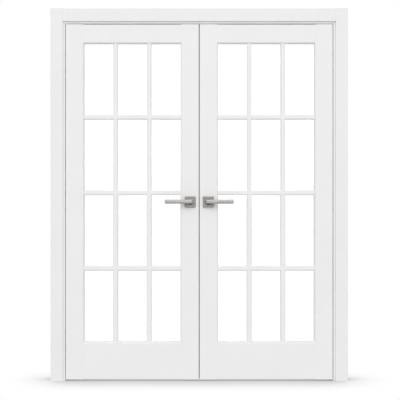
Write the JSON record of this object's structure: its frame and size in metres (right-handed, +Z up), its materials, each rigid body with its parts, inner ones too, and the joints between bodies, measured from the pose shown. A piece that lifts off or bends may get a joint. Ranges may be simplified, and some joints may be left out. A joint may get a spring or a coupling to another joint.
{
  "type": "french doors",
  "caption": "Pair of white glazed leaves with divided panes, hung on concealed hinges in a cased frame, with square-rosette levers.",
  "frame": {"origin": "on the floor, under the middle of the whole assembly, levers and casings included", "axes": "+X to the right seen from the side the leaves open to, +Y through the opening away from that side, +Z up"},
  "size_m": [1.698, 0.186, 2.13],
  "materials": {
    "painted_frame": "smooth white satin paint",
    "painted_leaf": "smooth white satin paint",
    "glass": "clear float glass",
    "gasket": "white glazing gasket",
    "seal": "black soft seal",
    "dowel": "plain beech",
    "satin_nickel": "satin nickel",
    "satin_plate": "satin nickel plate",
    "hinge_metal": "matt zinc casting",
    "steel": "bright zinc plated steel"
  },
  "bodies": {
    "frame": {"left_jamb": "painted_frame", "right_jamb": "painted_frame", "head_jamb": "painted_frame", "left_front_casing": "painted_frame", "right_front_casing": "painted_frame", "head_front_casing": "painted_frame", "left_back_casing": "painted_frame", "right_back_casing": "painted_frame", "head_back_casing": "painted_frame", "frame_seal": "seal", "left_jamb_hinge_cups": "hinge_metal", "right_jamb_hinge_cups": "hinge_metal", "frame_screws": "steel", "head_bolt_strike": "satin_plate"},
    "left_leaf": {"left_hinge_stile": "painted_leaf", "left_meeting_stile": "painted_leaf", "left_top_rail": "painted_leaf", "left_bottom_rail": "painted_leaf", "left_glass": "glass", "left_glass_gasket": "gasket", "left_front_grille": "painted_leaf", "left_back_grille": "painted_leaf", "left_dowels": "dowel", "left_leaf_hinge_cups": "hinge_metal", "left_leaf_screws": "steel", "left_handle_bases": "steel", "left_front_rosette": "satin_nickel", "left_back_rosette": "satin_nickel", "meeting_seal": "seal", "latch_strike": "satin_plate", "flush_bolt_plates": "satin_plate"},
    "right_leaf": {"right_hinge_stile": "painted_leaf", "right_meeting_stile": "painted_leaf", "right_top_rail": "painted_leaf", "right_bottom_rail": "painted_leaf", "right_glass": "glass", "right_glass_gasket": "gasket", "right_front_grille": "painted_leaf", "right_back_grille": "painted_leaf", "right_dowels": "dowel", "right_leaf_hinge_cups": "hinge_metal", "right_leaf_screws": "steel", "right_handle_bases": "steel", "right_front_rosette": "satin_nickel", "right_back_rosette": "satin_nickel", "latch_case": "satin_plate"},
    "left_links": {"left_hinge_links": "hinge_metal"},
    "right_links": {"right_hinge_links": "hinge_metal"},
    "left_levers": {"left_front_lever": "satin_nickel", "left_back_lever": "satin_nickel", "left_spindle": "steel", "left_set_screws": "steel"},
    "right_levers": {"right_front_lever": "satin_nickel", "right_back_lever": "satin_nickel", "right_spindle": "steel", "right_set_screws": "steel", "latch_follower": "steel"},
    "tongue": {"latch_tongue": "satin_plate"},
    "top_bolt": {"top_flush_bolt": "satin_plate"},
    "bottom_bolt": {"bottom_flush_bolt": "satin_plate"}
  },
  "joints": [
    {"name": "left_leaf_swing", "type": "hinge", "parent": "frame", "child": "left_leaf", "pos_m": [-0.7655, -0.035, 1.024], "axis": [0, 0, -1], "range_deg": [0, 100]},
    {"name": "right_leaf_swing", "type": "hinge", "parent": "frame", "child": "right_leaf", "pos_m": [0.7655, -0.035, 1.024], "axis": [0, 0, 1], "range_deg": [0, 100]},
    {"name": "left_link_turn", "type": "hinge", "parent": "frame", "child": "left_links", "pos_m": [-0.7655, -0.035, 1.024], "axis": [0, 0, -1], "range_deg": [0, 50]},
    {"name": "right_link_turn", "type": "hinge", "parent": "frame", "child": "right_links", "pos_m": [0.7655, -0.035, 1.024], "axis": [0, 0, 1], "range_deg": [0, 50]},
    {"name": "left_lever_turn", "type": "hinge", "parent": "left_leaf", "child": "left_levers", "pos_m": [-0.052, -0.015, 1.023], "axis": [0, -1, 0], "range_deg": [0, 45], "stiffness_Nm_per_rad": 1.2, "springref_deg": -28.65},
    {"name": "right_lever_turn", "type": "hinge", "parent": "right_leaf", "child": "right_levers", "pos_m": [0.052, -0.015, 1.023], "axis": [0, 1, 0], "range_deg": [0, 45], "stiffness_Nm_per_rad": 1.2, "springref_deg": -28.65},
    {"name": "tongue_slide", "type": "slide", "parent": "right_leaf", "child": "tongue", "axis": [-1, 0, 0], "range_m": [0, 0.01], "stiffness_N_per_m": 60, "springref_m": -0.01},
    {"name": "top_bolt_slide", "type": "slide", "parent": "left_leaf", "child": "top_bolt", "axis": [0, 0, 1], "range_m": [0, 0.015]},
    {"name": "bottom_bolt_slide", "type": "slide", "parent": "left_leaf", "child": "bottom_bolt", "axis": [0, 0, -1], "range_m": [0, 0.01]}
  ],
  "couplings": [
    {"joint": "left_link_turn", "follows": "left_leaf_swing", "ratio": 0.5},
    {"joint": "right_link_turn", "follows": "right_leaf_swing", "ratio": 0.5}
  ]
}
